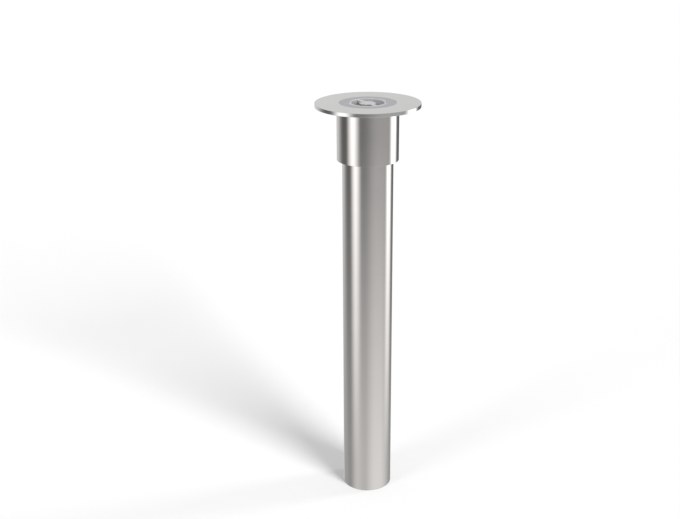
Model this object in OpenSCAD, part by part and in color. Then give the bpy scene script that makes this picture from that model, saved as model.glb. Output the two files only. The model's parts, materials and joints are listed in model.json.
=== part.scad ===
// Retractable bollard, lift-up type: a round post that slides in a housing set in the ground.
// Millimetres, +Z up, origin at the middle of the housing's foot. Modelled lowered and unlocked.
// A key turned in the head drives two bolts at the foot, which catch in the housing's rails
// when the post is down and when it is fully up.

/* [Housing] */
// Height of the housing, from its foot to the top of the flange
overall_h = 1150; // [980:1:1500]
// Outside diameter of the flange
flange_od = 285; // [210:1:360]
// Thickness of the flange
flange_t = 10; // [6:0.5:15]
// Height of the collar, from its lower end to the top of the flange
collar_len = 155; // [130:1:220]
// Wall of the collar tube
collar_wall = 7.1; // [4:0.1:10]
// Radial step from the outside of the sleeve to the bore of the collar
collar_step = 7.2; // [5:0.1:12]
// Wall of the sleeve tube
sleeve_wall = 3; // [2:0.1:5]
// Radial room between the post and the bore of the sleeve
sleeve_room = 16.05; // [14.5:0.05:22]
// Thickness of the base plate
base_t = 8; // [5:0.5:12]
// Diameter of the drain in the base plate
drain_d = 40; // [25:1:44]
// Height of the rubber buffer that the post comes down on
buffer_h = 20; // [12:1:40]

/* [Post] */
// Outside diameter of the post
post_od = 101.6; // [92:0.1:125]
// Wall of the post tube
post_wall = 3; // [2:0.1:5]
// Height of the reflective band
band_h = 50; // [25:1:70]
// From the top of the head down to the band
band_drop = 80; // [74:1:150]

/* [Bearings] */
// Length of each guide bearing
bearing_len = 30; // [20:1:36]
// Thickness of the stop ring at the foot of the collar
stop_t = 8; // [5:0.5:12]
// Thickness of the ring that closes the gap round the post
top_ring_t = 12; // [9:0.5:15]
// Thread diameter of the bolts that hold the bearings down
tie_d = 6; // [4:0.5:8]

/* [Foot] */
// Length of the lower guide shoe
shoe_low_h = 15; // [12:0.5:25]
// Length of the upper guide shoe
shoe_high_h = 45.7; // [30:0.1:60]
// Height of the rubber bumper that meets the stop ring
bumper_h = 15; // [8:0.5:25]
// Thickness of the cover under the foot
cover_t = 4; // [3:0.5:6]

/* [Head] */
// Height of the head cap above the post tube
head_h = 32; // [26:1:45]
// Width of the head cap's rim
rim_w = 6.3; // [4:0.1:9]
// Depth of the hand pocket
pocket_depth = 34; // [30:1:42]
// Diameter of the hub in the hand pocket
hub_d = 45; // [42:0.5:50]
// Width of the grip bar
bar_w = 12; // [8:0.5:16]
// Height of the grip bar
bar_h = 10; // [6:0.5:14]
// Direction of the grip bar, counted from +X
bar_az = 120; // [0:1:180]

/* [Lock] */
// Diameter of the two bolts
bolt_d = 14; // [10:0.5:17]
// Diameter of the pins that follow the cam
pin_d = 6; // [4:0.5:7]
// Thickness of the cam
cam_t = 6; // [4:0.5:8]
// Radius at which the cam's slots begin
cam_r_start = 20; // [18:0.5:21]
// Turn of the key from open to locked, in degrees
key_turn = 90; // [60:1:120]
// Diameter of the torsion rod
rod_d = 10; // [8:0.5:12]
// Diameter of the key spindle
spindle_d = 18; // [14:0.5:19]
// Across the corners of the spindle's triangle, as a radius
key_r = 8; // [5:0.1:8.5]

/* [Hidden] */
$fn = 96;
fit = 0.1;          // gap of a press or a weld fit, inside one body
run = 0.3;          // gap between pieces that move past each other
lap = 1;            // how far a cut runs past the face it opens
screw_r = 2;        // small screws and their pilot holes
edge = 0.8;         // chamfer on turned edges

// Radii, from the post outwards
post_r = post_od / 2;
post_bore = post_r - post_wall;
sleeve_bore = post_r + sleeve_room;
sleeve_r = sleeve_bore + sleeve_wall;
collar_bore = sleeve_r + collar_step;
collar_r = collar_bore + collar_wall;
flange_r = flange_od / 2;
inner_r = post_bore - fit;      // whatever is pressed into the post
ring_r = collar_bore - fit;     // whatever is pressed into the collar
guide_r = post_r + run;         // bore of what the post slides in
stop_r = post_r + 0.45 * sleeve_room;
tie_r = (stop_r + collar_bore) / 2;

// Heights of the housing
z_collar = overall_h - collar_len;
z_flange = overall_h - flange_t;
seat = 3;                       // how deep the collar stands in the flange
z_stop = z_collar + stop_t;
z_ring = overall_h - top_ring_t;
z_high_bearing = z_ring - bearing_len;
z_low_bearing = z_stop + bearing_len;

// Heights of the foot, and the lift that they leave
z_buffer = base_t + buffer_h;
z_post = z_buffer + run;
z_shoe = z_post + 1.7;
z_low_shoe = z_shoe + shoe_low_h;
bolt_r = bolt_d / 2;
bolt_room = 2.5;
bolt_z = z_low_shoe + bolt_room + bolt_r;
z_high_shoe = bolt_z + bolt_r + bolt_room;
z_bumper = z_high_shoe + shoe_high_h;
z_foot_top = z_bumper + bumper_h;
lift = z_collar - run - z_foot_top;
z_plug = z_low_shoe - 1;
z_cam = z_plug - 2;
z_cover = z_post + cover_t;
skirt_r = inner_r - 9.7;
cover_screw_r = (skirt_r + inner_r) / 2;

// The catch rails stand in notches of the shoes
rail_w = bolt_d + 2;
rail_x = post_r + 4.2;
notch_x = rail_x - run;
shoe_r = sleeve_bore - 0.45;
bumper_r = sleeve_bore - 2.85;
rail_end = 10;

// The bolts and the cam that moves them
bolt_tip = rail_x - 1;
bolt_throw = sleeve_bore - rail_x - 3.35;
bolt_tail = cam_r_start - 8;
cam_r = cam_r_start + bolt_throw + 7.5;
pin_r = pin_d / 2;
slot_r = pin_r + 0.5;
rod_r = rod_d / 2;
square = rod_r * 1.4;

// Heights of the head and of the key drive
z_head = overall_h - head_h;
z_pocket = overall_h - pocket_depth;
floor_t = 10;
z_floor = z_pocket - floor_t;
spigot_len = 38;
z_spigot = z_head - spigot_len;
spigot_bore = inner_r - 5.7;
z_cap_screw = z_spigot + 12;
pocket_r = post_r - rim_w;
z_grip = overall_h - 1;
spindle_r = spindle_d / 2;
bush_r = spindle_r + 3;
hub_r = hub_d / 2;
well_r = bush_r + (hub_r - bush_r) * 2 / 7;
grip_screw_r = (well_r + hub_r) / 2;
grip_screw_head = 3.5;
bush_flange_r = grip_screw_r - grip_screw_head - 0.25;
z_bush = z_floor - 2;
z_bush_top = z_pocket + 2;
z_key = z_bush_top + 6;
key_h = 14;
z_coupling = z_bush - 8;
coupling_len = 30;
coupling_r = spindle_r + 1;
tail_r = spindle_r - 3;
z_rod = z_coupling - coupling_len / 2 - 0.5;
cross_pin_r = 1.5;
cross_pin_drop = 6;
clip_t = 1;

// The lid over the key
lid_r = hub_r - 3.8;
lid_t = 3;
lid_flat = lid_r - 2.7;
lid_gap = 0.8;                  // room round the lid, so that its sides clear as it swings up
lid_swing = 0.9;                // room for the lid's straight edge to swing up
knuckle_r = 2.2;
knuckle_w = 10;
hinge_y = lid_r + 0.9;
hinge_z = z_grip - knuckle_r;
lid_pin_r = 1.25;
lid_pin_len = 20;

// The reflective band lies in a shallow groove
z_band = overall_h - band_drop - band_h;
groove = 0.5;

// ---- shapes that repeat ----

module rod(r, z0, z1) {
    translate([0, 0, z0]) cylinder(r = r, h = z1 - z0);
}

module ring(r0, r1, z0, z1) {
    difference() {
        rod(r1, z0, z1);
        rod(r0, z0 - lap, z1 + lap);
    }
}

// A ring with its outer edges chamfered
module turned_ring(r0, r1, z0, z1, c = edge) {
    rotate_extrude()
        polygon([[r0, z0], [r1 - c, z0], [r1, z0 + c], [r1, z1 - c], [r1 - c, z1], [r0, z1]]);
}

// Copies round the axis at radius r
module around(n, r, a0 = 0) {
    for (i = [0 : n - 1]) rotate(a0 + i * 360 / n) translate([r, 0, 0]) children();
}

// A round bar that points outwards at azimuth a and height z, from radius r0 to r1
module spoke(a, z, r, r0, r1) {
    rotate(a) translate([r0, 0, z]) rotate([0, 90, 0]) cylinder(r = r, h = r1 - r0);
}

// A screw that stands up: head below or above, shank from z0 to z1
module screw(r, head_r, head_h, z0, z1, head_up = true) {
    rod(r, z0, z1);
    if (head_up) rod(head_r, z1, z1 + head_h);
    else rod(head_r, z0 - head_h, z0);
}

// Room for a catch rail on each side of a ring
module rail_notches(z0, z1) {
    for (s = [0, 180]) rotate(s)
        translate([notch_x, -rail_w / 2 - 0.4, z0 - lap])
            cube([sleeve_room, rail_w + 0.8, z1 - z0 + 2 * lap]);
}

// ---- housing ----

module flange_plate() {
    color("gainsboro") difference() {
        turned_ring(collar_bore, flange_r, z_flange, overall_h);
        rod(collar_r + fit, z_flange - lap, z_flange + seat);
    }
}

module collar_tube() {
    color("silver") turned_ring(collar_bore, collar_r, z_collar, z_flange + seat, 0.5);
}

module stop_ring() {
    color("silver") difference() {
        ring(stop_r, ring_r, z_collar, z_stop);
        around(4, tie_r, 45) rod(tie_d / 2 + fit, z_collar + 1, z_stop + lap);
    }
}

module sleeve_tube() {
    color("silver") turned_ring(sleeve_bore, sleeve_r, 0, z_collar, 0.5);
}

grate_r = drain_d / 2 + 12;
grate_t = 2;
grate_screw_r = drain_d / 2 + 7;

module base_plate() {
    color("gray") difference() {
        ring(drain_d / 2, sleeve_bore - fit, 0, base_t);
        around(4, grate_screw_r, 45) rod(screw_r + fit, base_t / 4, base_t + lap);
    }
}

module drain_grate() {
    color("lightgray") difference() {
        rod(grate_r, base_t, base_t + grate_t);
        around(4, grate_screw_r, 45) rod(screw_r + fit, base_t - lap, base_t + grate_t + lap);
        for (k = [1, 2]) around(6 * k, k * drain_d / 6, 0)
            rod(drain_d / 18, base_t - lap, base_t + grate_t + lap);
    }
}

module grate_screws() {
    color("silver") around(4, grate_screw_r, 45)
        screw(screw_r, 3.6, 2, base_t / 4 + 1, base_t + grate_t);
}

module bottom_buffer() {
    color("dimgray") turned_ring(max(grate_r + 3, post_bore - 12), post_r - 0.8, base_t, z_buffer, 1);
}

// The rail's holes take the bolts with the post down and with it fully up
module catch_rail() {
    color("lightgray") difference() {
        intersection() {
            translate([rail_x, -rail_w / 2, rail_end])
                cube([sleeve_room, rail_w, z_collar - 2 * rail_end]);
            rod(sleeve_bore - fit, 0, z_collar);
        }
        for (z = [bolt_z, bolt_z + lift]) spoke(0, z, bolt_r + 0.4, post_r, sleeve_r);
    }
}

module catch_rail_right() {
    catch_rail();
}

module catch_rail_left() {
    rotate(180) catch_rail();
}

module bearing(z0, z1) {
    difference() {
        ring(guide_r, ring_r, z0, z1);
        around(4, tie_r, 45) rod(tie_d / 2 + run, z0 - lap, z1 + lap);
    }
}

tie_head_r = tie_d / 2 + 2;
tie_head_h = tie_d;

module lower_bearing() {
    color("ivory") bearing(z_stop, z_low_bearing);
}

module upper_bearing() {
    color("ivory") difference() {
        bearing(z_high_bearing, z_ring);
        around(4, tie_r, 45) rod(tie_head_r + 0.4, z_ring - tie_head_h - run, z_ring + lap);
    }
}

module bearing_spacer() {
    color("lightgray") ring(collar_bore - 5.55, ring_r, z_low_bearing, z_high_bearing);
}

module tie_bolts() {
    color("silver") around(4, tie_r, 45) difference() {
        screw(tie_d / 2, tie_head_r, tie_head_h, z_collar + 1.3, z_ring - tie_head_h - run);
        translate([0, 0, z_ring - tie_head_h / 2 - run])
            cylinder(r = tie_d / 2, h = tie_head_h, $fn = 6);
    }
}

rebate_r = post_r + 7.2;
z_rebate = z_ring + top_ring_t / 2;
o_ring_r = 0.8;

module wiper_seal() {
    color("black") rotate_extrude() polygon([
        [guide_r + 2.5, z_ring + fit], [rebate_r - fit, z_ring + fit],
        [rebate_r - fit, z_rebate - fit], [guide_r, z_rebate - fit], [guide_r, z_rebate - 1]]);
}

module top_ring() {
    color("slategray") rotate_extrude() difference() {
        polygon([
            [rebate_r, z_ring], [ring_r, z_ring], [ring_r, overall_h - edge],
            [ring_r - edge, overall_h], [post_r + 0.7 + edge, overall_h],
            [post_r + 0.7, overall_h - edge], [post_r + 0.7, z_rebate], [rebate_r, z_rebate]]);
        translate([ring_r - 2 * o_ring_r - fit, z_rebate - o_ring_r - fit])
            square(2 * o_ring_r + 2 * fit);
    }
}

module top_ring_o_ring() {
    color("black") rotate_extrude()
        translate([ring_r - o_ring_r, z_rebate]) circle(r = o_ring_r);
}

// ---- post ----

module post_tube() {
    color("silver") difference() {
        ring(post_bore, post_r, z_post, z_head);
        for (a = [0, 180]) spoke(a, bolt_z, bolt_r + run, post_bore - lap, post_r + lap);
        shoe_holes(post_bore - lap, post_r + lap);
        for (a = [60 : 120 : 300]) spoke(a, z_cap_screw, 2.5 + fit, post_bore - lap, post_r + lap);
        ring(post_r - groove, post_r + lap, z_band, z_band + band_h);
    }
}

module reflective_band() {
    color("white")
        ring(post_r - groove + 0.05, post_r - 0.05, z_band + fit, z_band + band_h - fit);
}

module head_cap() {
    color("gainsboro") difference() {
        rotate_extrude() polygon([
            [bush_r + fit, z_floor], [spigot_bore, z_floor], [spigot_bore, z_spigot],
            [inner_r, z_spigot], [inner_r, z_head], [post_r, z_head],
            [post_r, overall_h - edge], [post_r - edge, overall_h],
            [pocket_r + edge, overall_h], [pocket_r, overall_h - edge],
            [pocket_r, z_pocket], [bush_r + fit, z_pocket]]);
        for (a = [60 : 120 : 300]) spoke(a, z_cap_screw, 2.5 + fit, spigot_bore + 1, post_r);
        around(3, grip_screw_r, 90) rod(screw_r + fit, z_floor - lap, z_pocket + lap);
    }
}

module cap_screws() {
    color("silver") for (a = [60 : 120 : 300]) difference() {
        spoke(a, z_cap_screw, 2.5, spigot_bore + 1.2, post_r - 0.2);
        rotate(a) translate([post_r - 2.2, 0, z_cap_screw]) rotate([0, 90, 0])
            cylinder(r = 1.4, h = 3, $fn = 6);
    }
}

// The grip is drawn along X and turned to its direction with everything on it
module grip_place() {
    rotate(bar_az) children();
}

module grip_bar() {
    color("gainsboro") grip_place() difference() {
        union() {
            intersection() {
                rotate([90, 0, 90]) translate([0, 0, -pocket_r]) linear_extrude(2 * pocket_r)
                    polygon([
                        [-bar_w / 2 + 1, z_grip], [-bar_w / 2, z_grip - 1],
                        [-bar_w / 2, z_grip - bar_h + 2], [-bar_w / 2 + 2, z_grip - bar_h],
                        [bar_w / 2 - 2, z_grip - bar_h], [bar_w / 2, z_grip - bar_h + 2],
                        [bar_w / 2, z_grip - 1], [bar_w / 2 - 1, z_grip]]);
                rod(pocket_r - fit, z_pocket, z_grip);
            }
            turned_ring(well_r, hub_r, z_pocket, z_grip, edge);
        }
        rod(well_r, z_pocket - lap, z_grip + lap);
        intersection() {
            rod(lid_r + lid_gap, z_grip - lid_t - run, z_grip + lap);
            translate([-hub_r, -hub_r, z_pocket])
                cube([hub_d, hub_r + lid_flat + lid_swing, pocket_depth]);
        }
        translate([-knuckle_w / 2 - run, lid_flat - 2, hinge_z - knuckle_r - run])
            cube([knuckle_w + 2 * run, hub_r, pocket_depth]);
        translate([-7, -hub_r - lap, z_grip - lid_t - 1.5]) cube([14, 5, pocket_depth]);
        hinge_bar(lid_pin_r + fit, lid_pin_len + 2 * fit);
        rotate(-bar_az) around(3, grip_screw_r, 90)
            rod(screw_r + fit, z_pocket - lap, z_pocket + 21);
    }
}

// A round bar on the lid's hinge line
module hinge_bar(r, len) {
    translate([-len / 2, hinge_y, hinge_z]) rotate([0, 90, 0]) cylinder(r = r, h = len);
}

module grip_screws() {
    color("silver") around(3, grip_screw_r, 90)
        screw(screw_r, grip_screw_head, 3, z_floor, z_pocket + 20, head_up = false);
}

module cover_pin() {
    color("silver") grip_place() hinge_bar(lid_pin_r, lid_pin_len);
}

module spindle_bush() {
    color("goldenrod") difference() {
        union() {
            rod(bush_r, z_bush, z_bush_top);
            rod(bush_flange_r, z_bush, z_floor - fit);
        }
        rod(spindle_r + 0.15, z_bush - lap, z_bush_top + lap);
    }
}

module spindle_seal() {
    color("black")
        ring(spindle_r + run, well_r - fit, z_bush_top + clip_t + 0.8, z_bush_top + clip_t + 4);
}

module rod_guide(share) {
    z = z_bumper + share * (z_spigot - z_bumper);
    color("ivory") difference() {
        ring(rod_r + 0.2, inner_r, z - 4, z + 4);
        around(3, inner_r * 0.58, 30) rod(inner_r * 0.25, z - 5, z + 5);
    }
}

module rod_guide_lower() {
    rod_guide(1 / 3);
}

module rod_guide_upper() {
    rod_guide(2 / 3);
}

// ---- foot of the post ----

z_low_screw = (z_shoe + z_low_shoe) / 2;
z_high_screw = (z_high_shoe + z_bumper) / 2;
shoe_screw_tip = inner_r - 3.7;
shoe_head_r = 4;

module shoe_holes(r0, r1, r = screw_r + fit) {
    for (a = [90, 270], z = [z_low_screw, z_high_screw]) spoke(a, z, r, r0, r1);
}

module foot_plug() {
    color("lightgray") difference() {
        union() {
            rod(inner_r, z_plug, z_bumper);
            ring(skirt_r, inner_r, z_cover + fit, z_plug);
        }
        rod(rod_r + 0.2, z_plug - lap, z_bumper + lap);
        for (a = [0, 180]) {
            spoke(a, bolt_z, bolt_r + 0.25, bolt_tail - 2, post_r);
            rotate(a) pin_track();
        }
        shoe_holes(shoe_screw_tip - 1, post_r);
        around(4, cover_screw_r, 45) rod(screw_r + fit, z_cover - lap, z_plug + 4);
    }
}

// The slot in the plug that a follower pin travels along
module pin_track() {
    for (x = [cam_r_start, cam_r_start + bolt_throw])
        translate([x, 0, 0]) rod(pin_r + 0.4, z_plug - lap, bolt_z);
    translate([cam_r_start, -pin_r - 0.4, z_plug - lap])
        cube([bolt_throw, pin_d + 0.8, bolt_z - z_plug + lap]);
}

module shoe(r, z0, z1) {
    difference() {
        turned_ring(post_r + fit, r, z0, z1, 1.5);
        rail_notches(z0, z1);
        shoe_holes(post_r - lap, sleeve_r);
        shoe_holes(shoe_r - 4, sleeve_r, shoe_head_r + run);
    }
}

module foot_shoe_lower() {
    color("ivory") shoe(shoe_r, z_shoe, z_low_shoe);
}

module foot_shoe_upper() {
    color("ivory") shoe(shoe_r, z_high_shoe, z_bumper);
}

module bumper_ring() {
    color("dimgray") difference() {
        turned_ring(guide_r, bumper_r, z_bumper, z_foot_top, 2);
        rail_notches(z_bumper, z_foot_top);
    }
}

module shoe_screws() {
    color("silver") for (a = [90, 270], z = [z_low_screw, z_high_screw]) {
        spoke(a, z, screw_r, shoe_screw_tip, shoe_r - 4);
        spoke(a, z, shoe_head_r, shoe_r - 4, shoe_r - 0.6);
    }
}

module foot_cover() {
    color("lightgray") difference() {
        rod(inner_r, z_post, z_cover);
        around(4, cover_screw_r, 45) {
            rod(screw_r + fit, z_post - lap, z_cover + lap);
            rod(3.9, z_post - lap, z_post + cover_t / 2);
        }
    }
}

module foot_cover_screws() {
    color("silver") around(4, cover_screw_r, 45)
        screw(screw_r, 3.6, cover_t / 2 - 0.2, z_post + cover_t / 2, z_plug + 3, head_up = false);
}

// ---- lock ----

module drive_spindle() {
    color("goldenrod") difference() {
        union() {
            rod(spindle_r, z_coupling, z_key);
            rod(spindle_r + 2.5, z_bush - 4, z_bush - run);
            rod(tail_r, z_coupling - coupling_len / 2 + 0.5, z_coupling);
            translate([0, 0, z_key]) cylinder(r = key_r, h = key_h, $fn = 3);
        }
        ring(spindle_r - 0.8, spindle_r + lap, z_bush_top + fit, z_bush_top + clip_t + 0.4);
        spoke(0, z_coupling - cross_pin_drop, cross_pin_r + fit, -spindle_r, spindle_r);
    }
}

module spindle_clip() {
    color("dimgray") difference() {
        ring(spindle_r - 0.7, spindle_r + 2, z_bush_top + 0.2, z_bush_top + 0.2 + clip_t);
        translate([0, -2, z_bush_top - lap]) cube([hub_r, 4, 5]);
    }
}

module rod_coupling() {
    color("silver") difference() {
        rod(coupling_r, z_coupling - coupling_len, z_coupling);
        rod(tail_r + fit, z_coupling - coupling_len / 2, z_coupling + lap);
        rod(rod_r + fit, z_coupling - coupling_len - lap, z_coupling - coupling_len / 2 + lap);
        for (d = [cross_pin_drop, coupling_len - cross_pin_drop])
            spoke(0, z_coupling - d, cross_pin_r + fit, -coupling_r - lap, coupling_r + lap);
    }
}

module coupling_pins() {
    color("dimgray") for (d = [cross_pin_drop, coupling_len - cross_pin_drop])
        spoke(0, z_coupling - d, cross_pin_r, -coupling_r, coupling_r);
}

module torsion_rod() {
    color("silver") difference() {
        union() {
            rod(rod_r, z_cam, z_rod);
            translate([-square / 2, -square / 2, z_cam - cam_t]) cube([square, square, cam_t]);
        }
        rod(screw_r + fit, z_cam - cam_t - lap, z_cam + 8);
        spoke(0, z_coupling - coupling_len + cross_pin_drop, cross_pin_r + fit, -rod_d, rod_d);
    }
}

// A slot that carries its pin outwards by bolt_throw while the cam makes the key's turn
steps = 12;
function slot_at(a, dr) = let (r = cam_r_start + bolt_throw * a / key_turn + dr)
    [r * cos(a), -r * sin(a)];

module cam_slot() {
    translate([0, 0, z_cam - cam_t - lap]) linear_extrude(cam_t + 2 * lap) {
        polygon([
            for (i = [0 : steps]) slot_at(key_turn * i / steps, slot_r),
            for (i = [steps : -1 : 0]) slot_at(key_turn * i / steps, -slot_r)]);
        for (a = [0, key_turn]) translate(slot_at(a, 0)) circle(r = slot_r);
    }
}

module cam_disc() {
    color("lightgray") difference() {
        rod(cam_r, z_cam - cam_t, z_cam);
        for (a = [0, 180]) rotate(a) cam_slot();
        translate([-square / 2 - fit, -square / 2 - fit, z_cam - cam_t - lap])
            cube([square + 2 * fit, square + 2 * fit, cam_t + 2 * lap]);
    }
}

module cam_screw() {
    color("silver") screw(screw_r, 6.5, 2.6, z_cam - cam_t, z_cam + 6, head_up = false);
}

module latch_bolt() {
    color("silver") difference() {
        translate([bolt_tail, 0, bolt_z]) rotate([0, 90, 0]) rotate_extrude()
            polygon([[0, 0], [bolt_r, 0], [bolt_r, bolt_tip - bolt_tail - 1.5],
                [bolt_r - 1.5, bolt_tip - bolt_tail], [0, bolt_tip - bolt_tail]]);
        translate([cam_r_start, 0, 0]) rod(pin_r + fit, bolt_z - bolt_r - lap, bolt_z + 4);
    }
}

module follower_pin() {
    color("dimgray") translate([cam_r_start, 0, 0]) rod(pin_r, z_cam - cam_t + 0.4, bolt_z + 3.5);
}

module latch_bolt_right() {
    latch_bolt();
}

module latch_bolt_left() {
    rotate(180) latch_bolt();
}

module follower_pin_right() {
    follower_pin();
}

module follower_pin_left() {
    rotate(180) follower_pin();
}

// ---- lid over the key ----

module lock_cover() {
    color("gainsboro") grip_place() difference() {
        union() {
            intersection() {
                turned_ring(0, lid_r, z_grip - lid_t, z_grip, 0.5);
                translate([-lid_r, -lid_r, z_grip - lid_t])
                    cube([2 * lid_r, lid_r + lid_flat, lid_t]);
            }
            translate([-knuckle_w / 2, lid_flat - 1, z_grip - lid_t])
                cube([knuckle_w, hinge_y - lid_flat + 1, lid_t]);
            hinge_bar(knuckle_r, knuckle_w);
        }
        hinge_bar(lid_pin_r + fit, knuckle_w + 2 * lap);
    }
}

// ---- the nodes ----

flange_plate();
collar_tube();
stop_ring();
sleeve_tube();
base_plate();
drain_grate();
grate_screws();
bottom_buffer();
catch_rail_left();
catch_rail_right();
lower_bearing();
bearing_spacer();
upper_bearing();
tie_bolts();
wiper_seal();
top_ring();
top_ring_o_ring();
post_tube();
reflective_band();
head_cap();
cap_screws();
grip_bar();
grip_screws();
spindle_bush();
spindle_seal();
cover_pin();
rod_guide_lower();
rod_guide_upper();
foot_plug();
foot_shoe_lower();
foot_shoe_upper();
shoe_screws();
bumper_ring();
foot_cover();
foot_cover_screws();
drive_spindle();
spindle_clip();
rod_coupling();
coupling_pins();
torsion_rod();
cam_disc();
cam_screw();
latch_bolt_left();
follower_pin_left();
latch_bolt_right();
follower_pin_right();
lock_cover();
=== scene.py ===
"""Looks of a lift-up retractable bollard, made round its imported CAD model.

The bollard stands lowered in its ground housing. The turned shells, the weld beads and the
reflective film are made here. Every other part keeps its CAD shape and gets its finish.
Metres, +Z up.
"""

import json
import math

import bpy
from bpy.props import FloatProperty, FloatVectorProperty, IntProperty, PointerProperty
from mathutils import Matrix, Vector


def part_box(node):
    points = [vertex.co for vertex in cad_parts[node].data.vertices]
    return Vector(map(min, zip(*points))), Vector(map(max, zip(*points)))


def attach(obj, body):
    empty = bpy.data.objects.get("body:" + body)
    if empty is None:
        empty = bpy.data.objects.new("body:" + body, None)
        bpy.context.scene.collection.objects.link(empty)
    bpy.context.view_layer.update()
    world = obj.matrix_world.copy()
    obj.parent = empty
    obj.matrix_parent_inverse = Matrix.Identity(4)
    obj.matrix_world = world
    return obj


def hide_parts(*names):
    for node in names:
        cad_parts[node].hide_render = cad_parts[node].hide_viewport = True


bl_info = {
    "name": "Retractable bollard",
    "version": (1, 0, 0),
    "blender": (4, 5, 0),
    "location": "3D View > Sidebar > Bollard",
    "description": "Dresses the parts of a retractable bollard and sets up its studio",
    "category": "Object",
}

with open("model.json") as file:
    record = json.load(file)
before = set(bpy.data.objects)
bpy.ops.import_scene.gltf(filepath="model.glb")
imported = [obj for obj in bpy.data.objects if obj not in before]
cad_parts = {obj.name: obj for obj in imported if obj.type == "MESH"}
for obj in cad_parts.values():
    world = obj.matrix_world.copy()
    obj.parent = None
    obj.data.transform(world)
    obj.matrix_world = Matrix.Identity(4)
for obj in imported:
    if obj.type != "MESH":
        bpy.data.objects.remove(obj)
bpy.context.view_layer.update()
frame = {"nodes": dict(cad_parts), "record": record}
SLOT_OF = {part["node"]: part["material_slot"] for part in frame["record"]["subparts"]}
BODY_OF = {
    node: body
    for body, members in frame["record"]["behaviour"]["bodies"].items()
    for node in members
}

MM = 0.001
FIT = 0.1 * MM  # gap of a press or a weld fit between two turned parts
RING_GAP = 0.7 * MM  # from the post to the grey ring round it
LAND = 2.5 * MM  # from the post to the outside of the ring's bright land
HEAD_WALL = 2 * MM  # the head's rim, which the blasted pocket leaves bright
HEAD_EDGE = 1 * MM  # how far under the head's top the blasted pocket starts
CHAMFER_GRAIN = 0.93  # under 1, so that a 45 degree chamfer has grain too
BEAD_SINK = 0.25  # share of a bead's radius that it lies in the corner
BEAD_SIDES = 12
RIPPLE_STEPS = 6
RIPPLE_SWELL = 0.09  # height of a ripple, as a share of the bead's radius
RIPPLE_LEAN = 1.3  # radians that a ripple's phase runs ahead over one bead radius
FILM = 0.06 * MM  # thickness of a film cell
FILM_SINK = 0.02 * MM  # how far a cell's middle lies inside the band's surface


def new_object(name, data):
    """An object of the scene with this mesh, light or camera."""
    made = bpy.data.objects.new(name, data)
    bpy.context.scene.collection.objects.link(made)
    return made


def low(node):
    """The lowest corner of a CAD node at rest."""
    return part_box(node)[0]


def high(node):
    """The highest corner of a CAD node at rest."""
    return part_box(node)[1]


# ---- settings that a user would change ----


class BollardFinish(bpy.types.PropertyGroup):
    """Colours and finishes of the parts."""

    tube_color: FloatVectorProperty(
        name="Tube steel", description="Colour of the brushed tubes",
        subtype="COLOR", size=3, min=0, max=1, default=(0.705, 0.68, 0.66),
    )
    plate_color: FloatVectorProperty(
        name="Plate steel", description="Colour of the flange, the head and the grip",
        subtype="COLOR", size=3, min=0, max=1, default=(0.74, 0.74, 0.73),
    )
    ring_color: FloatVectorProperty(
        name="Ring", description="Colour of the grey ring round the post",
        subtype="COLOR", size=3, min=0, max=1, default=(0.52, 0.52, 0.545),
    )
    roughness: FloatProperty(
        name="Roughness", description="Roughness of the brushed tubes",
        subtype="FACTOR", min=0.05, max=0.6, default=0.11,
    )
    grain: FloatProperty(
        name="Grain", description="Width of one line of the brushed grain",
        unit="LENGTH", min=0.0001, max=0.005, default=0.0005,
    )


class BollardTurning(bpy.types.PropertyGroup):
    """How the turned shells are made."""

    edge: FloatProperty(
        name="Edge", description="Radius of the rounded edges of the flange and the ring",
        unit="LENGTH", min=0.0001, max=0.002, default=0.0006,
    )
    segments: IntProperty(
        name="Segments", description="Steps round the axis", min=64, max=512, default=256,
    )


class BollardWelds(bpy.types.PropertyGroup):
    """The weld beads under the flange and under the collar."""

    bead: FloatProperty(
        name="Bead", description="Radius of a weld bead",
        unit="LENGTH", min=0.0005, max=0.005, default=0.0022,
    )
    pitch: FloatProperty(
        name="Pitch", description="Distance from one ripple to the next",
        unit="LENGTH", min=0.001, max=0.01, default=0.0028,
    )


class BollardFilm(bpy.types.PropertyGroup):
    """The cells of the reflective film."""

    cell: FloatProperty(
        name="Cell", description="Distance from one cell to the next",
        unit="LENGTH", min=0.002, max=0.01, default=0.0048,
    )
    seam: FloatProperty(
        name="Seam", description="Width of the seam between two cells",
        unit="LENGTH", min=0.0001, max=0.001, default=0.0004,
    )


class BollardStudio(bpy.types.PropertyGroup):
    """The camera, the floor and the light."""

    lens: FloatProperty(
        name="Lens", description="Focal length of the camera in millimetres",
        min=20, max=200, default=56.34,
    )
    tilt: FloatProperty(
        name="Tilt", description="How far the camera looks down",
        subtype="ANGLE", min=0, max=1.5, default=math.radians(20.26),
    )
    roll: FloatProperty(
        name="Roll", description="How far the camera leans to one side",
        subtype="ANGLE", min=-0.2, max=0.2, default=math.radians(-0.425),
    )
    place: FloatVectorProperty(
        name="Camera", description="The camera, counted from the middle of the flange's top",
        unit="LENGTH", size=3, default=(-0.0771, -2.7963, 0.5878),
    )
    key: FloatProperty(
        name="Key light", description="Strength of the main light",
        min=0, max=20, default=3.35,
    )
    fill: FloatProperty(
        name="Side lights", description="Strength of each of the two side lights",
        min=0, max=20, default=0.5,
    )
    ambient: FloatProperty(
        name="Ambient", description="Brightness of the light from all round",
        min=0, max=5, default=0.5,
    )


# ---- finishes ----


def set_shader(shader, color, metallic, roughness):
    """Sets the three values that every finish has."""
    shader.inputs["Base Color"].default_value = (*color, 1)
    shader.inputs["Metallic"].default_value = metallic
    shader.inputs["Roughness"].default_value = roughness


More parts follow.
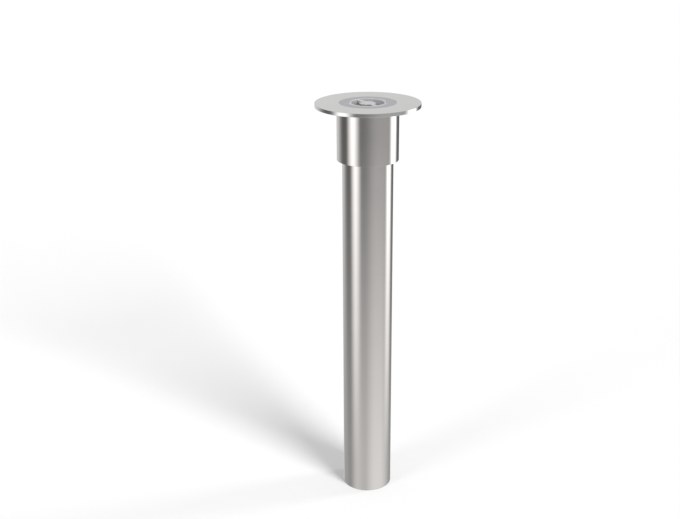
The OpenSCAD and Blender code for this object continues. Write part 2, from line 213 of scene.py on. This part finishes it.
def new_finish(name, color, metallic, roughness):
    """A material with one shader: (material, nodes, links, shader)."""
    material = bpy.data.materials.new(name)
    material.use_nodes = True
    nodes, links = material.node_tree.nodes, material.node_tree.links
    shader = next(n for n in nodes if n.type == "BSDF_PRINCIPLED")
    set_shader(shader, color, metallic, roughness)
    return material, nodes, links, shader


def feed(links, socket, value):
    """Links a socket to an output, or sets its value."""
    if isinstance(value, bpy.types.NodeSocket):
        links.new(value, socket)
    else:
        socket.default_value = value


def math_node(nodes, links, operation, a, b):
    """The output of a Math node on two sockets or numbers."""
    node = nodes.new("ShaderNodeMath")
    node.operation = operation
    feed(links, node.inputs[0], a)
    feed(links, node.inputs[1], b)
    return node.outputs[0]


def noise(nodes, links, place, detail=3.0, roughness=0.6):
    """The value of a noise texture read at a vector."""
    node = nodes.new("ShaderNodeTexNoise")
    node.inputs["Scale"].default_value = 1
    node.inputs["Detail"].default_value = detail
    node.inputs["Roughness"].default_value = roughness
    links.new(place, node.inputs["Vector"])
    return node.outputs["Fac"]


def from_axis(nodes, links):
    """The distance from the Z axis, and the node that holds X, Y and Z."""
    coords = nodes.new("ShaderNodeTexCoord")
    split = nodes.new("ShaderNodeSeparateXYZ")
    links.new(coords.outputs["Object"], split.inputs[0])
    flat = nodes.new("ShaderNodeCombineXYZ")
    links.new(split.outputs["X"], flat.inputs["X"])
    links.new(split.outputs["Y"], flat.inputs["Y"])
    radius = nodes.new("ShaderNodeVectorMath")
    radius.operation = "LENGTH"
    links.new(flat.outputs[0], radius.inputs[0])
    return radius.outputs["Value"], split


def turned_place(nodes, links, pitch, arc):
    """Coordinates drawn out round the Z axis, as a lathe or a belt leaves its grain."""
    radius, split = from_axis(nodes, links)
    across = math_node(nodes, links, "ADD", radius,
                       math_node(nodes, links, "MULTIPLY", split.outputs["Z"], CHAMFER_GRAIN))
    place = nodes.new("ShaderNodeCombineXYZ")
    links.new(math_node(nodes, links, "DIVIDE", across, pitch), place.inputs["X"])
    links.new(math_node(nodes, links, "DIVIDE", split.outputs["X"], arc), place.inputs["Y"])
    links.new(math_node(nodes, links, "DIVIDE", split.outputs["Y"], arc), place.inputs["Z"])
    return place.outputs[0]


def scaled_place(nodes, links, size):
    """Object coordinates divided by a size, or by one size for each axis."""
    coords = nodes.new("ShaderNodeTexCoord")
    mapping = nodes.new("ShaderNodeMapping")
    sizes = size if isinstance(size, tuple) else (size,) * 3
    mapping.inputs["Scale"].default_value = [1 / s for s in sizes]
    links.new(coords.outputs["Object"], mapping.inputs["Vector"])
    return mapping.outputs[0]


def spread(nodes, links, value, lowest, highest):
    """A value from 0 to 1 spread over a range."""
    node = nodes.new("ShaderNodeMapRange")
    node.inputs["From Min"].default_value = 0.3
    node.inputs["From Max"].default_value = 0.7
    node.inputs["To Min"].default_value = lowest
    node.inputs["To Max"].default_value = highest
    links.new(value, node.inputs["Value"])
    return node.outputs[0]


def tint(nodes, links, shader, value, color, depth):
    """Base colour that wanders by depth round a colour."""
    ramp = nodes.new("ShaderNodeValToRGB")
    ramp.color_ramp.elements[0].position = 0.3
    ramp.color_ramp.elements[1].position = 0.7
    ramp.color_ramp.elements[0].color = (*[c * (1 - depth) for c in color], 1)
    ramp.color_ramp.elements[1].color = (*[min(1, c * (1 + depth)) for c in color], 1)
    links.new(value, ramp.inputs["Fac"])
    links.new(ramp.outputs["Color"], shader.inputs["Base Color"])


def bump(nodes, links, shader, value, depth, strength=1.0):
    """Relief of a depth in metres on the shader's normal."""
    node = nodes.new("ShaderNodeBump")
    node.inputs["Strength"].default_value = strength
    node.inputs["Distance"].default_value = depth
    links.new(value, node.inputs["Height"])
    links.new(node.outputs["Normal"], shader.inputs["Normal"])


def turned_steel(name, color, roughness, pitch, depth=3e-7):
    """Steel with fine grain round its axis, and faint cloudiness over it."""
    material, nodes, links, shader = new_finish(name, color, 1.0, roughness)
    grain = noise(nodes, links, turned_place(nodes, links, pitch, 0.035), 4.0, 0.7)
    cloud = noise(nodes, links, scaled_place(nodes, links, 0.08), 3.0)
    both = math_node(nodes, links, "ADD", math_node(nodes, links, "MULTIPLY", grain, 0.6),
                     math_node(nodes, links, "MULTIPLY", cloud, 0.4))
    tint(nodes, links, shader, both, color, 0.03)
    links.new(spread(nodes, links, both, roughness - 0.03, roughness + 0.04),
              shader.inputs["Roughness"])
    bump(nodes, links, shader, grain, depth)
    return material


def drawn_steel(name, color, roughness):
    """Bar and sheet steel with grain along its length."""
    material, nodes, links, shader = new_finish(name, color, 1.0, roughness)
    grain = noise(nodes, links, scaled_place(nodes, links, (0.0007, 0.0007, 0.06)), 4.0, 0.7)
    scale = noise(nodes, links, scaled_place(nodes, links, 0.02), 4.0)
    tint(nodes, links, shader, scale, color, 0.1)
    links.new(spread(nodes, links, scale, roughness - 0.08, roughness + 0.1),
              shader.inputs["Roughness"])
    bump(nodes, links, shader, grain, 6e-6)
    return material


def grained(name, color, metallic, roughness, size, depth, wander=0.06):
    """A finish with an even grain in all directions, such as cast, moulded or anodised."""
    material, nodes, links, shader = new_finish(name, color, metallic, roughness)
    grain = noise(nodes, links, scaled_place(nodes, links, size), 3.0)
    cloud = noise(nodes, links, scaled_place(nodes, links, size * 40), 3.0)
    tint(nodes, links, shader, cloud, color, wander)
    links.new(spread(nodes, links, cloud, roughness - 0.05, roughness + 0.05),
              shader.inputs["Roughness"])
    bump(nodes, links, shader, grain, depth)
    return material


def show_mixed(nodes, links, share, first, second):
    """Shows a material's first shader where the share is 0 and its second where it is 1."""
    mix = nodes.new("ShaderNodeMixShader")
    links.new(share, mix.inputs[0])
    links.new(first.outputs[0], mix.inputs[1])
    links.new(second.outputs[0], mix.inputs[2])
    out = next(n for n in nodes if n.type == "OUTPUT_MATERIAL")
    links.new(mix.outputs[0], out.inputs["Surface"])


def second_shader(material, share, color, metallic, roughness):
    """Lays a second shader over a material's first one where the share is 1."""
    nodes, links = material.node_tree.nodes, material.node_tree.links
    first = next(n for n in nodes if n.type == "BSDF_PRINCIPLED")
    second = nodes.new("ShaderNodeBsdfPrincipled")
    set_shader(second, color, metallic, roughness)
    show_mixed(nodes, links, share, first, second)


def blasted_pocket(material, edge, top):
    """Gives a turned finish a bead-blasted, matt pocket: inside a radius and below a height."""
    nodes, links = material.node_tree.nodes, material.node_tree.links
    radius, split = from_axis(nodes, links)
    inside = math_node(nodes, links, "LESS_THAN", radius, edge)
    below = math_node(nodes, links, "LESS_THAN", split.outputs["Z"], top)
    second_shader(material, math_node(nodes, links, "MULTIPLY", inside, below),
                  (0.76, 0.76, 0.79), 0.8, 0.7)


def machined_land(material, edge, color, roughness):
    """Gives a finish a bright land inside a radius, as a cutter leaves it."""
    nodes, links = material.node_tree.nodes, material.node_tree.links
    radius, _ = from_axis(nodes, links)
    second_shader(material, math_node(nodes, links, "LESS_THAN", radius, edge),
                  color, 1.0, roughness)


def weld_steel():
    """Pickled weld metal, a little duller than the plate and heat-tinted in patches."""
    material, nodes, links, shader = new_finish("weld_steel", (0.6, 0.58, 0.56), 1.0, 0.35)
    patches = noise(nodes, links, scaled_place(nodes, links, 0.012), 4.0)
    tint(nodes, links, shader, patches, (0.56, 0.54, 0.52), 0.14)
    links.new(spread(nodes, links, patches, 0.28, 0.46), shader.inputs["Roughness"])
    fine = noise(nodes, links, scaled_place(nodes, links, 0.0006), 3.0)
    bump(nodes, links, shader, fine, 2e-5)
    return material


def film_finish(name, color, roughness):
    """Plastic film: clear-coated, with a fine sparkle."""
    material, nodes, links, shader = new_finish(name, color, 0.0, roughness)
    shader.inputs["Coat Weight"].default_value = 0.6
    shader.inputs["Coat Roughness"].default_value = 0.08
    sparkle = noise(nodes, links, scaled_place(nodes, links, 0.0004), 2.0)
    tint(nodes, links, shader, sparkle, color, 0.07)
    bump(nodes, links, shader, sparkle, 4e-6)
    return material


FINISHES = {}


def make_finishes():
    """Makes the finish of every slot of the record."""
    look = bpy.context.scene.bollard_finish
    tube, plate, ring = tuple(look.tube_color), tuple(look.plate_color), tuple(look.ring_color)
    FINISHES.update({
        "stainless_brushed": turned_steel("stainless_brushed", tube, look.roughness, look.grain),
        "stainless_fine": turned_steel(
            "stainless_fine", plate, look.roughness + 0.03, look.grain * 0.8),
        "inner_steel": drawn_steel("inner_steel", (0.52, 0.52, 0.53), 0.38),
        "fastener_steel": turned_steel("fastener_steel", (0.62, 0.62, 0.64), 0.22, 0.0003),
        "ring_grey": grained("ring_grey", ring, 0.85, 0.4, 0.0006, 4e-6, 0.03),
        "rubber_black": grained("rubber_black", (0.022, 0.022, 0.024), 0.0, 0.72, 0.0008, 3e-5),
        "bearing_polymer": grained("bearing_polymer", (0.72, 0.69, 0.6), 0.0, 0.42, 0.0009, 1e-5),
        "bush_brass": turned_steel("bush_brass", (0.74, 0.56, 0.28), 0.25, 0.0004, 2e-6),
        "foot_aluminium": turned_steel("foot_aluminium", (0.72, 0.73, 0.74), 0.3, 0.0006, 3e-6),
        "reflective_white": film_finish("reflective_white", (0.34, 0.35, 0.37), 0.3),
    })


# ---- turned shells ----


def rounded(outline, steps=6):
    """The points of a closed outline with rounded corners, and the outward normal at each.

    The outline is a list of (radius, height, corner radius), anticlockwise.
    """
    points = []
    for i, (r, z, corner) in enumerate(outline):
        here = Vector((r, z))
        before = Vector(outline[i - 1][:2])
        after = Vector(outline[(i + 1) % len(outline)][:2])
        into, out = (here - before).normalized(), (after - here).normalized()
        turn = math.atan2(into.x * out.y - into.y * out.x, into.dot(out))
        side = 1 if turn > 0 else -1
        normal = Vector((into.y, -into.x))
        start = here - into * corner * math.tan(abs(turn) / 2)
        centre = start - normal * corner * side
        for k in range(steps + 1):
            n = normal.copy()
            n.rotate(Matrix.Rotation(turn * k / steps, 2))
            points.append((centre + n * corner * side, n))
    return points


def turned_shell(name, outline, node):
    """A ring turned from an outline, which stands for a CAD node and rides where it does."""
    points = rounded(outline)
    count, segments = len(points), bpy.context.scene.bollard_turning.segments
    verts, normals, faces = [], [], []
    for j in range(segments):
        a = 2 * math.pi * j / segments
        for point, normal in points:
            verts.append((point.x * math.cos(a), point.x * math.sin(a), point.y))
            normals.append((normal.x * math.cos(a), normal.x * math.sin(a), normal.y))
    for j in range(segments):
        here, there = j * count, (j + 1) % segments * count
        for i in range(count):
            k = (i + 1) % count
            faces.append((here + i, there + i, there + k, here + k))
    mesh = bpy.data.meshes.new(name)
    mesh.from_pydata(verts, [], faces)
    mesh.polygons.foreach_set("use_smooth", [True] * len(faces))
    mesh.normals_split_custom_set_from_vertices(normals)
    piece = new_object(name, mesh)
    mesh.materials.append(FINISHES[SLOT_OF[node]])
    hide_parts(node)
    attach(piece, BODY_OF[node])
    return piece


class BOLLARD_OT_turn_housing(bpy.types.Operator):
    """Turn the flange, the collar and the sleeve, with rounded edges"""

    bl_idname = "bollard.turn_housing"
    bl_label = "Turn housing"

    def execute(self, context):
        edge = context.scene.bollard_turning.edge
        fine = edge / 3
        bore = high("top_ring").x + FIT
        collar, flange = high("collar_tube"), high("flange_plate")
        under, step = low("flange_plate").z, low("collar_tube").z
        seat = collar.x + FIT
        turned_shell("flange", [
            (bore, collar.z, fine), (seat, collar.z, fine), (seat, under, fine),
            (flange.x, under, edge), (flange.x, flange.z, edge), (bore, flange.z, fine),
        ], "flange_plate")
        turned_shell("collar", [
            (bore, step, fine), (collar.x, step, edge / 2),
            (collar.x, collar.z, fine), (bore, collar.z, fine),
        ], "collar_tube")
        sleeve, sleeve_bore = high("sleeve_tube"), high("base_plate").x + FIT
        foot = low("sleeve_tube").z
        turned_shell("sleeve", [
            (sleeve_bore, foot, fine), (sleeve.x, foot, edge / 2),
            (sleeve.x, sleeve.z, fine), (sleeve_bore, sleeve.z, fine),
        ], "sleeve_tube")
        return {"FINISHED"}


class BOLLARD_OT_turn_ring(bpy.types.Operator):
    """Turn the grey ring that closes the gap round the post"""

    bl_idname = "bollard.turn_ring"
    bl_label = "Turn ring"

    def execute(self, context):
        edge = context.scene.bollard_turning.edge
        fine = edge / 3
        ring, foot = high("top_ring"), low("top_ring").z
        bore = high("post_tube").x + RING_GAP
        rebate, rebate_top = high("wiper_seal").x + FIT, high("wiper_seal").z + FIT
        cord = high("top_ring_o_ring").x
        groove_low, groove_high = low("top_ring_o_ring").z - FIT, high("top_ring_o_ring").z + FIT
        groove = cord - (groove_high - groove_low)
        turned_shell("grey_ring", [
            (rebate, foot, fine), (ring.x, foot, fine), (ring.x, groove_low, fine),
            (groove, groove_low, fine), (groove, groove_high, fine), (ring.x, groove_high, fine),
            (ring.x, ring.z, edge * 0.8), (bore, ring.z, fine),
            (bore, rebate_top, fine), (rebate, rebate_top, fine),
        ], "top_ring")
        return {"FINISHED"}


# ---- pieces that repeat, made by Geometry Nodes ----


class Tree:
    """A Geometry Nodes tree with named inputs, built a node at a time."""

    def __init__(self, name, inputs):
        self.group = bpy.data.node_groups.new(name, "GeometryNodeTree")
        for label, kind in inputs:
            self.group.interface.new_socket(label, in_out="INPUT", socket_type=kind)
        self.group.interface.new_socket(
            "Geometry", in_out="OUTPUT", socket_type="NodeSocketGeometry")
        self.start = self.group.nodes.new("NodeGroupInput")
        self.end = self.group.nodes.new("NodeGroupOutput")

    def add(self, kind, settings=None, **sockets):
        """A node with its settings, and its inputs linked or set by name."""
        node = self.group.nodes.new(kind)
        for key, value in (settings or {}).items():
            setattr(node, key, value)
        for key, value in sockets.items():
            feed(self.group.links, node.inputs[key.replace("_", " ")], value)
        return node

    def math(self, operation, a, b=0.0):
        """The output of a Math node."""
        node = self.add("ShaderNodeMath", {"operation": operation})
        feed(self.group.links, node.inputs[0], a)
        feed(self.group.links, node.inputs[1], b)
        return node.outputs[0]

    def finish(self, geometry):
        """Realize Instances and Set Material, as the last two steps."""
        real = self.add("GeometryNodeRealizeInstances", Geometry=geometry)
        done = self.add("GeometryNodeSetMaterial", Geometry=real.outputs[0],
                        Material=self.start.outputs["Material"])
        self.group.links.new(done.outputs[0], self.end.inputs["Geometry"])

    def make(self, name, values, body, slot):
        """The piece that the tree makes with these values, as a plain mesh on a body."""
        maker = new_object(name, bpy.data.meshes.new(name))
        modifier = maker.modifiers.new("make", "NODES")
        modifier.node_group = self.group
        for item in self.group.interface.items_tree:
            if item.in_out == "INPUT" and item.name in values:
                modifier[item.identifier] = values[item.name]
        graph = bpy.context.evaluated_depsgraph_get()
        mesh = bpy.data.meshes.new_from_object(maker.evaluated_get(graph))
        maker.modifiers.clear()
        maker.data = mesh
        mesh.name = name
        if not mesh.vertices:
            raise RuntimeError(f"{name} came out empty")
        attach(maker, body)
        return maker


def weld_tree():
    """A round bead of a radius at a height, with ripples along it."""
    tree = Tree("weld_bead", [
        ("Radius", "NodeSocketFloat"), ("Height", "NodeSocketFloat"),
        ("Bead", "NodeSocketFloat"), ("Ripples", "NodeSocketInt"),
        ("Material", "NodeSocketMaterial")])
    given = tree.start.outputs
    steps = tree.math("MULTIPLY", given["Ripples"], RIPPLE_STEPS)
    path = tree.add("GeometryNodeCurvePrimitiveCircle", {"mode": "RADIUS"},
                    Resolution=steps, Radius=given["Radius"])
    section = tree.add("GeometryNodeCurvePrimitiveCircle", {"mode": "RADIUS"},
                       Resolution=BEAD_SIDES, Radius=given["Bead"])
    bead = tree.add("GeometryNodeCurveToMesh", Curve=path.outputs["Curve"],
                    Profile_Curve=section.outputs["Curve"])
    at = tree.add("GeometryNodeInputPosition")
    split = tree.add("ShaderNodeSeparateXYZ", Vector=at.outputs[0])
    angle = tree.math("ARCTAN2", split.outputs["Y"], split.outputs["X"])
    # Each ripple leans forward: its phase runs ahead on the upper side of the bead
    lean = tree.math("MULTIPLY", tree.math("DIVIDE", split.outputs["Z"], given["Bead"]),
                     RIPPLE_LEAN)
    phase = tree.math("ADD", tree.math("MULTIPLY", angle, given["Ripples"]), lean)
    swell = tree.math("MULTIPLY", tree.math("SINE", phase),
                      tree.math("MULTIPLY", given["Bead"], RIPPLE_SWELL))
    normal = tree.add("GeometryNodeInputNormal")
    push = tree.add("ShaderNodeVectorMath", {"operation": "SCALE"}, Scale=swell)
    feed(tree.group.links, push.inputs[0], normal.outputs[0])
    rippled = tree.add("GeometryNodeSetPosition", Geometry=bead.outputs[0],
                       Offset=push.outputs[0])
    lift = tree.add("ShaderNodeCombineXYZ", Z=given["Height"])
    placed = tree.add("GeometryNodeTransform", Geometry=rippled.outputs[0],
                      Translation=lift.outputs[0])
    smooth = tree.add("GeometryNodeSetShadeSmooth", Geometry=placed.outputs[0])
    tree.finish(smooth.outputs[0])
    return tree


class BOLLARD_OT_lay_welds(bpy.types.Operator):
    """Lay the weld beads under the flange and under the collar"""

    bl_idname = "bollard.lay_welds"
    bl_label = "Lay welds"

    def execute(self, context):
        size = context.scene.bollard_welds
        steel = weld_steel()
        tree = weld_tree()
        sink = size.bead * BEAD_SINK
        joints = {
            "weld_under_flange": (high("collar_tube").x, low("flange_plate").z),
            "weld_under_collar": (high("sleeve_tube").x, low("collar_tube").z),
        }
        for name, (radius, height) in joints.items():
            tree.make(name, {
                "Radius": radius + sink, "Height": height - sink, "Bead": size.bead,
                "Ripples": round(2 * math.pi * radius / size.pitch), "Material": steel,
            }, "housing", SLOT_OF["collar_tube"])
        return {"FINISHED"}


def film_tree():
    """Rows of flat six-sided cells round a cylinder, each row half a cell further on."""
    tree = Tree("film_cells", [
        ("Radius", "NodeSocketFloat"), ("Low", "NodeSocketFloat"), ("Cell", "NodeSocketFloat"),
        ("Seam", "NodeSocketFloat"), ("Thickness", "NodeSocketFloat"),
        ("Columns", "NodeSocketInt"), ("Rows", "NodeSocketInt"),
        ("Material", "NodeSocketMaterial")])
    given = tree.start.outputs
    total = tree.math("MULTIPLY", given["Columns"], given["Rows"])
    line = tree.add("GeometryNodeMeshLine", {"mode": "OFFSET"}, Count=total)
    number = tree.add("GeometryNodeInputIndex").outputs[0]
    row = tree.math("FLOOR", tree.math("DIVIDE", tree.math("ADD", number, 0.5), given["Columns"]))
    column = tree.math("SUBTRACT", number, tree.math("MULTIPLY", row, given["Columns"]))
    shift = tree.math("MULTIPLY", tree.math("MODULO", row, 2.0), 0.5)
    turn = tree.math("MULTIPLY", tree.math("DIVIDE", tree.math("ADD", column, shift),
                                           given["Columns"]), 2 * math.pi)
    rise = tree.math("MULTIPLY", given["Cell"], math.sqrt(3) / 2)
    at = tree.add(
        "ShaderNodeCombineXYZ",
        X=tree.math("MULTIPLY", tree.math("COSINE", turn), given["Radius"]),
        Y=tree.math("MULTIPLY", tree.math("SINE", turn), given["Radius"]),
        Z=tree.math("ADD", given["Low"],
                    tree.math("MULTIPLY", tree.math("ADD", row, 0.5), rise)))
    points = tree.add("GeometryNodeSetPosition", Geometry=line.outputs[0],
                      Position=at.outputs[0])
    flat_to_flat = tree.math("SUBTRACT", given["Cell"], given["Seam"])
    cell = tree.add(
        "GeometryNodeMeshCylinder", {"fill_type": "NGON"}, Vertices=6, Depth=given["Thickness"],
        Radius=tree.math("DIVIDE", flat_to_flat, math.sqrt(3)))
    facing = tree.add("ShaderNodeCombineXYZ", X=math.pi / 2, Y=0.0,
                      Z=tree.math("ADD", turn, math.pi / 2))
    turned = tree.add("FunctionNodeEulerToRotation", Euler=facing.outputs[0])
    upright = tree.add("GeometryNodeTransform", Geometry=cell.outputs[0])
    upright.inputs["Rotation"].default_value = (0, 0, math.pi / 6)
    cells = tree.add("GeometryNodeInstanceOnPoints", Points=points.outputs[0],
                     Instance=upright.outputs[0], Rotation=turned.outputs[0])
    tree.finish(cells.outputs[0])
    return tree


class BOLLARD_OT_lay_film(bpy.types.Operator):
    """Wrap the reflective film's cells round the band"""

    bl_idname = "bollard.lay_film"
    bl_label = "Lay film"

    def execute(self, context):
        size = context.scene.bollard_film
        bottom, top = low("reflective_band"), high("reflective_band")
        rise = size.cell * math.sqrt(3) / 2
        rows = int((top.z - bottom.z) / rise)
        film_tree().make("film_cells", {
            "Radius": top.x - FILM_SINK, "Cell": size.cell, "Seam": size.seam,
            "Low": (bottom.z + top.z - rows * rise) / 2, "Thickness": FILM,
            "Columns": round(2 * math.pi * top.x / size.cell), "Rows": rows,
            "Material": film_finish("film_cell", (0.5, 0.51, 0.53), 0.16),
        }, "post", SLOT_OF["reflective_band"])
        return {"FINISHED"}


# ---- finishes of the parts that keep their CAD shape ----


class BOLLARD_OT_finish_parts(bpy.types.Operator):
    """Give every CAD part its finish"""

    bl_idname = "bollard.finish_parts"
    bl_label = "Finish parts"

    def execute(self, context):
        make_finishes()
        look = context.scene.bollard_finish
        head = turned_steel("head_steel", tuple(look.plate_color), look.roughness + 0.03,
                            look.grain)
        blasted_pocket(head, high("head_cap").x - HEAD_WALL, high("head_cap").z - HEAD_EDGE)
        machined_land(FINISHES["ring_grey"], high("post_tube").x + LAND,
                      tuple(look.plate_color), look.roughness + 0.03)
        for node, part in frame["nodes"].items():
            material = head if node == "head_cap" else FINISHES[SLOT_OF[node]]
            if not part.material_slots:
                part.data.materials.append(material)
            for place in part.material_slots:
                place.material = material
        return {"FINISHED"}


# ---- studio ----

# The studio as polished parts mirror it: an even level, and soft lights and flats round it.
# Each light has its direction, how far to each side it is full, how far it reaches, and its
# brightness, which adds to the level. All but the brightness are in degrees. Directions count
# from the side that the camera is on, positive to its right.
WALL_LEVEL = 0.14
WALL_LIGHTS = {
    "left softbox": (-58, 0, 32, 1.45),
    "right softbox": (109, 5, 27, 1.65),
    "front flat": (-10, 20, 60, 0.07),
    "right flat": (58, 10, 80, 0.29),
    "left flat": (-152, 5, 50, 0.6),
    "back wall": (180, 2, 18, 0.45),
}
FLOOR_LEVEL = 0.38
FLOOR_LIGHTS = {
    "left glow": (-48, 0, 48, 0.34),
    "right glow": (50, 10, 100, 0.55),
    "left rear": (-130, 5, 40, 0.08),
    "rear": (-172, 0, 22, 0.6),
}
CEILING_LEVEL = 0.7
CEILING_SHARE = 0.8  # how far the walls have faded into it, high up
CEILING_BLEND = 0.12  # sine of the angle over and under the horizon where they fade
FLOOR_STARTS, FLOOR_FULL = 13.5, 31  # degrees under the horizon where walls become floor

# Lights that cast the floor's soft shadows: direction and width in degrees
KEY_LIGHT = (38.5, 26)
SIDE_LIGHTS = {"left_light": (-51, 19), "right_light": (106, 12)}
LIGHT_HEIGHT = 27  # degrees over the horizon, for all three

# The white floor: half of its side, how far it lies under the foot, and its colour
FLOOR_HALF, FLOOR_DROP = 40.0, 0.4 * MM
FLOOR_WHITE = (0.9, 0.9, 0.9)


def ring_light(nodes, links, turn, level, lights):
    """Brightness round the horizon: an even level and the lights, which fade to both sides."""
    for direction, full, reach, brightness in lights.values():
        aside = math_node(nodes, links, "SUBTRACT", turn, direction / 360)
        glow = nodes.new("ShaderNodeMapRange")
        glow.interpolation_type = "SMOOTHSTEP"
        glow.inputs["From Min"].default_value = reach / 360
        glow.inputs["From Max"].default_value = full / 360
        glow.inputs["To Max"].default_value = brightness
        links.new(math_node(nodes, links, "PINGPONG", aside, 0.5), glow.inputs["Value"])
        level = math_node(nodes, links, "ADD", glow.outputs[0], level)
    return level


def blend(nodes, links, share, first, second):
    """Two colours blended by a share."""
    mix = nodes.new("ShaderNodeMix")
    mix.data_type = "RGBA"
    links.new(share, mix.inputs["Factor"])
    feed(links, mix.inputs[6], first)
    feed(links, mix.inputs[7], second)
    return mix.outputs[2]


def share_between(nodes, links, value, start, end):
    """0 where value is start, 1 where it is end."""
    node = nodes.new("ShaderNodeMapRange")
    node.inputs["From Min"].default_value = start
    node.inputs["From Max"].default_value = end
    links.new(value, node.inputs["Value"])
    return node.outputs[0]


def studio_walls(ambient):
    """The world: what polished parts mirror, a plain white backdrop and even light."""
    world = bpy.data.worlds.new("studio")
    bpy.context.scene.world = world
    world.use_nodes = True
    world.cycles.sampling_method = "NONE"
    nodes, links = world.node_tree.nodes, world.node_tree.links
    nodes.clear()
    coords = nodes.new("ShaderNodeTexCoord")
    split = nodes.new("ShaderNodeSeparateXYZ")
    links.new(coords.outputs["Generated"], split.inputs[0])
    back = math_node(nodes, links, "MULTIPLY", split.outputs["Y"], -1)
    angle = math_node(nodes, links, "ARCTAN2", split.outputs["X"], back)
    turn = math_node(nodes, links, "DIVIDE", angle, 2 * math.pi)
    walls = ring_light(nodes, links, turn, WALL_LEVEL, WALL_LIGHTS)
    ground = ring_light(nodes, links, turn, FLOOR_LEVEL, FLOOR_LIGHTS)
    height = split.outputs["Z"]
    down = share_between(nodes, links, height, -math.sin(math.radians(FLOOR_STARTS)),
                         -math.sin(math.radians(FLOOR_FULL)))
    up = share_between(nodes, links, height, -CEILING_BLEND, CEILING_BLEND)
    above = blend(nodes, links, math_node(nodes, links, "MULTIPLY", up, CEILING_SHARE), walls,
                  (*(CEILING_LEVEL,) * 3, 1))
    mirrored = blend(nodes, links, down, above, ground)
    path = nodes.new("ShaderNodeLightPath")
    looks = {}
    for name, color, strength in (
        ("mirrored", mirrored, 1.0), ("even", (1, 1, 1, 1), ambient),
        ("white", (1, 1, 1, 1), 1.0),
    ):
        shader = nodes.new("ShaderNodeBackground")
        shader.inputs["Strength"].default_value = strength
        feed(links, shader.inputs["Color"], color)
        looks[name] = shader.outputs[0]
    result = looks["even"]
    for ray, name in (("Is Glossy Ray", "mirrored"), ("Is Camera Ray", "white")):
        mix = nodes.new("ShaderNodeMixShader")
        links.new(path.outputs[ray], mix.inputs[0])
        links.new(result, mix.inputs[1])
        links.new(looks[name], mix.inputs[2])
        result = mix.outputs[0]
    out = nodes.new("ShaderNodeOutputWorld")
    links.new(result, out.inputs["Surface"])


def studio_floor():
    """A wide white floor just under the foot. Its underside is clear."""
    mesh = bpy.data.meshes.new("studio_floor")
    corners = [(x * FLOOR_HALF, y * FLOOR_HALF, -FLOOR_DROP)
               for x, y in ((-1, -1), (1, -1), (1, 1), (-1, 1))]
    mesh.from_pydata(corners, [], [(0, 1, 2, 3)])
    floor = new_object("studio_floor", mesh)
    material, nodes, links, shader = new_finish("floor_white", FLOOR_WHITE, 0.0, 0.9)
    shader.inputs["Specular IOR Level"].default_value = 0
    tint(nodes, links, shader, noise(nodes, links, scaled_place(nodes, links, 0.9)),
         FLOOR_WHITE, 0.002)
    side = nodes.new("ShaderNodeNewGeometry")
    clear = nodes.new("ShaderNodeBsdfTransparent")
    show_mixed(nodes, links, side.outputs["Backfacing"], shader, clear)
    mesh.materials.append(material)
    floor.visible_glossy = False


def far_light(name, direction, width, energy):
    """A distant soft light that only casts light and shade and isn't mirrored."""
    data = bpy.data.lights.new(name, "SUN")
    data.energy = energy
    data.angle = math.radians(width)
    light = new_object(name, data)
    a, e = math.radians(direction), math.radians(LIGHT_HEIGHT)
    source = Vector((math.sin(a) * math.cos(e), -math.cos(a) * math.cos(e), math.sin(e)))
    light.rotation_euler = (-source).to_track_quat("-Z", "Y").to_euler()
    light.visible_glossy = False


class BOLLARD_OT_set_studio(bpy.types.Operator):
    """Set up the floor, the light and the camera"""

    bl_idname = "bollard.set_studio"
    bl_label = "Set studio"

    def execute(self, context):
        studio = context.scene.bollard_studio
        studio_floor()
        studio_walls(studio.ambient)
        far_light("key_light", *KEY_LIGHT, studio.key)
        for name, (direction, width) in SIDE_LIGHTS.items():
            far_light(name, direction, width, studio.fill)
        camera = new_object("camera", bpy.data.cameras.new("camera"))
        camera.data.lens = studio.lens
        camera.data.sensor_width = 36
        camera.data.clip_end = 200
        flange_top = Vector((0, 0, high("flange_plate").z))
        camera.matrix_world = (
            Matrix.Translation(flange_top + Vector(studio.place))
            @ Matrix.Rotation(math.pi / 2 - studio.tilt, 4, "X")
            @ Matrix.Rotation(studio.roll, 4, "Z")
        )
        context.scene.camera = camera
        context.scene.view_settings.view_transform = "Standard"
        return {"FINISHED"}


# ---- panel and registration ----

SETTINGS = {
    "bollard_finish": BollardFinish,
    "bollard_turning": BollardTurning,
    "bollard_welds": BollardWelds,
    "bollard_film": BollardFilm,
    "bollard_studio": BollardStudio,
}
STEPS = (
    BOLLARD_OT_finish_parts, BOLLARD_OT_turn_housing, BOLLARD_OT_turn_ring,
    BOLLARD_OT_lay_welds, BOLLARD_OT_lay_film, BOLLARD_OT_set_studio,
)


class BOLLARD_PT_panel(bpy.types.Panel):
    """Lists the settings and the steps"""

    bl_label = "Bollard"
    bl_idname = "BOLLARD_PT_panel"
    bl_space_type = "VIEW_3D"
    bl_region_type = "UI"
    bl_category = "Bollard"

    def draw(self, context):
        for name, group in SETTINGS.items():
            box = self.layout.box()
            for prop in group.__annotations__:
                box.prop(getattr(context.scene, name), prop)
        for step in STEPS:
            self.layout.operator(step.bl_idname)


CLASSES = (*SETTINGS.values(), *STEPS, BOLLARD_PT_panel)


def register():
    for cls in CLASSES:
        bpy.utils.register_class(cls)
    for name, group in SETTINGS.items():
        setattr(bpy.types.Scene, name, PointerProperty(type=group))


def unregister():
    for name in SETTINGS:
        delattr(bpy.types.Scene, name)
    for cls in reversed(CLASSES):
        bpy.utils.unregister_class(cls)


def main():
    """Runs every step in order."""
    register()
    for step in STEPS:
        group, name = step.bl_idname.split(".")
        getattr(getattr(bpy.ops, group), name)()
    bpy.context.view_layer.update()


if __name__ == "__main__":
    main()
